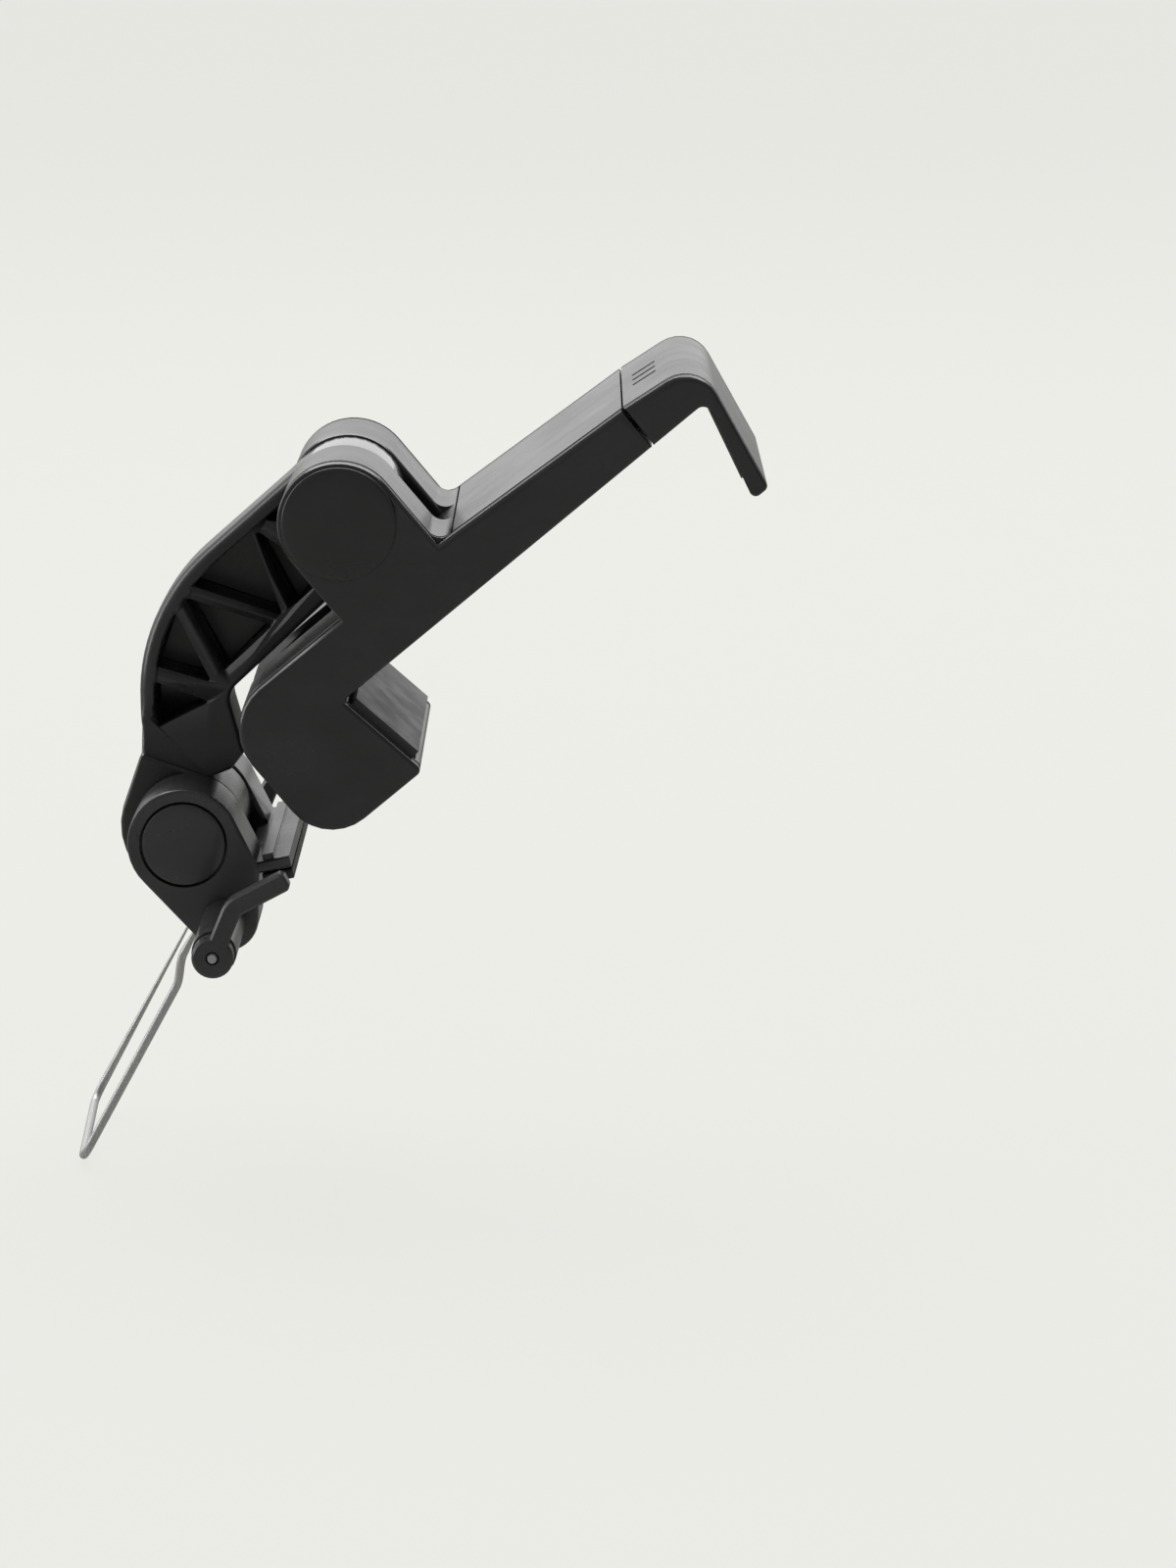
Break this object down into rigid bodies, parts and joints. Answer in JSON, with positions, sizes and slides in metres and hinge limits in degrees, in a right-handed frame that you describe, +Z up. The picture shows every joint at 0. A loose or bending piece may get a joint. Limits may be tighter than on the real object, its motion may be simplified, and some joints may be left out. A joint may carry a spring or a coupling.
{
  "type": "controller phone clip",
  "caption": "Clip-on phone holder: saddle with claws and a wire bail, truss arm on two hinges, and a sprung phone clamp.",
  "frame": {"origin": "middle of the underside of the rubber foot pad, where the clip rests on its host", "axes": "+X towards the user, +Y across the clip along both hinges, +Z up"},
  "size_m": [0.0892, 0.0708, 0.1037],
  "materials": {
    "satin_black_plastic": "satin moulded",
    "dark_rubber": "matte",
    "bright_steel": "bright drawn wire and plated screws"
  },
  "bodies": {
    "saddle": {"saddle": "satin_black_plastic", "foot_pad": "dark_rubber", "lower_hinge_screw": "bright_steel", "lower_hinge_nut": "bright_steel", "lower_hinge_cap_near": "satin_black_plastic", "lower_hinge_cap_far": "satin_black_plastic"},
    "claws": {"claw_near": "satin_black_plastic", "claw_far": "satin_black_plastic", "claw_pin": "bright_steel"},
    "bail": {"wire_bail": "bright_steel"},
    "arm": {"truss_arm": "satin_black_plastic", "lower_washer_near": "bright_steel", "lower_washer_far": "bright_steel", "upper_washer_near": "bright_steel", "upper_washer_far": "bright_steel"},
    "clamp": {"clamp_body": "satin_black_plastic", "beam_cover": "satin_black_plastic", "cover_screw_1": "bright_steel", "cover_screw_2": "bright_steel", "cover_screw_3": "bright_steel", "cover_screw_4": "bright_steel", "back_pad": "dark_rubber", "lower_jaw_pad": "dark_rubber", "spring_post_near": "bright_steel", "spring_post_far": "bright_steel", "upper_hinge_screw": "bright_steel", "upper_hinge_nut": "bright_steel", "upper_hinge_cap_near": "satin_black_plastic", "upper_hinge_cap_far": "satin_black_plastic"},
    "jaw": {"sliding_jaw": "satin_black_plastic", "upper_jaw_pad": "dark_rubber", "jaw_spring_near": "bright_steel", "jaw_spring_far": "bright_steel"}
  },
  "joints": [
    {"name": "arm_tilt", "type": "hinge", "parent": "saddle", "child": "arm", "pos_m": [-0.0116, 0, 0.005], "axis": [0, 1, 0], "range_deg": [-45, 0]},
    {"name": "clamp_tilt", "type": "hinge", "parent": "arm", "child": "clamp", "pos_m": [0.00884, 0, 0.04681], "axis": [0, 1, 0], "range_deg": [-165, 0]},
    {"name": "jaw_slide", "type": "slide", "parent": "clamp", "child": "jaw", "axis": [0.7683, 0, 0.6401], "range_m": [0, 0.03], "stiffness_N_per_m": 120, "springref_m": -0.01, "deforming": ["jaw_spring_near", "jaw_spring_far"]},
    {"name": "claw_swing", "type": "hinge", "parent": "saddle", "child": "claws", "pos_m": [-0.00655, 0, -0.00478], "axis": [0, 1, 0], "range_deg": [-60, 0]},
    {"name": "bail_swing", "type": "hinge", "parent": "saddle", "child": "bail", "pos_m": [-0.00655, 0, -0.00478], "axis": [0, 1, 0], "range_deg": [-65, 22]}
  ]
}
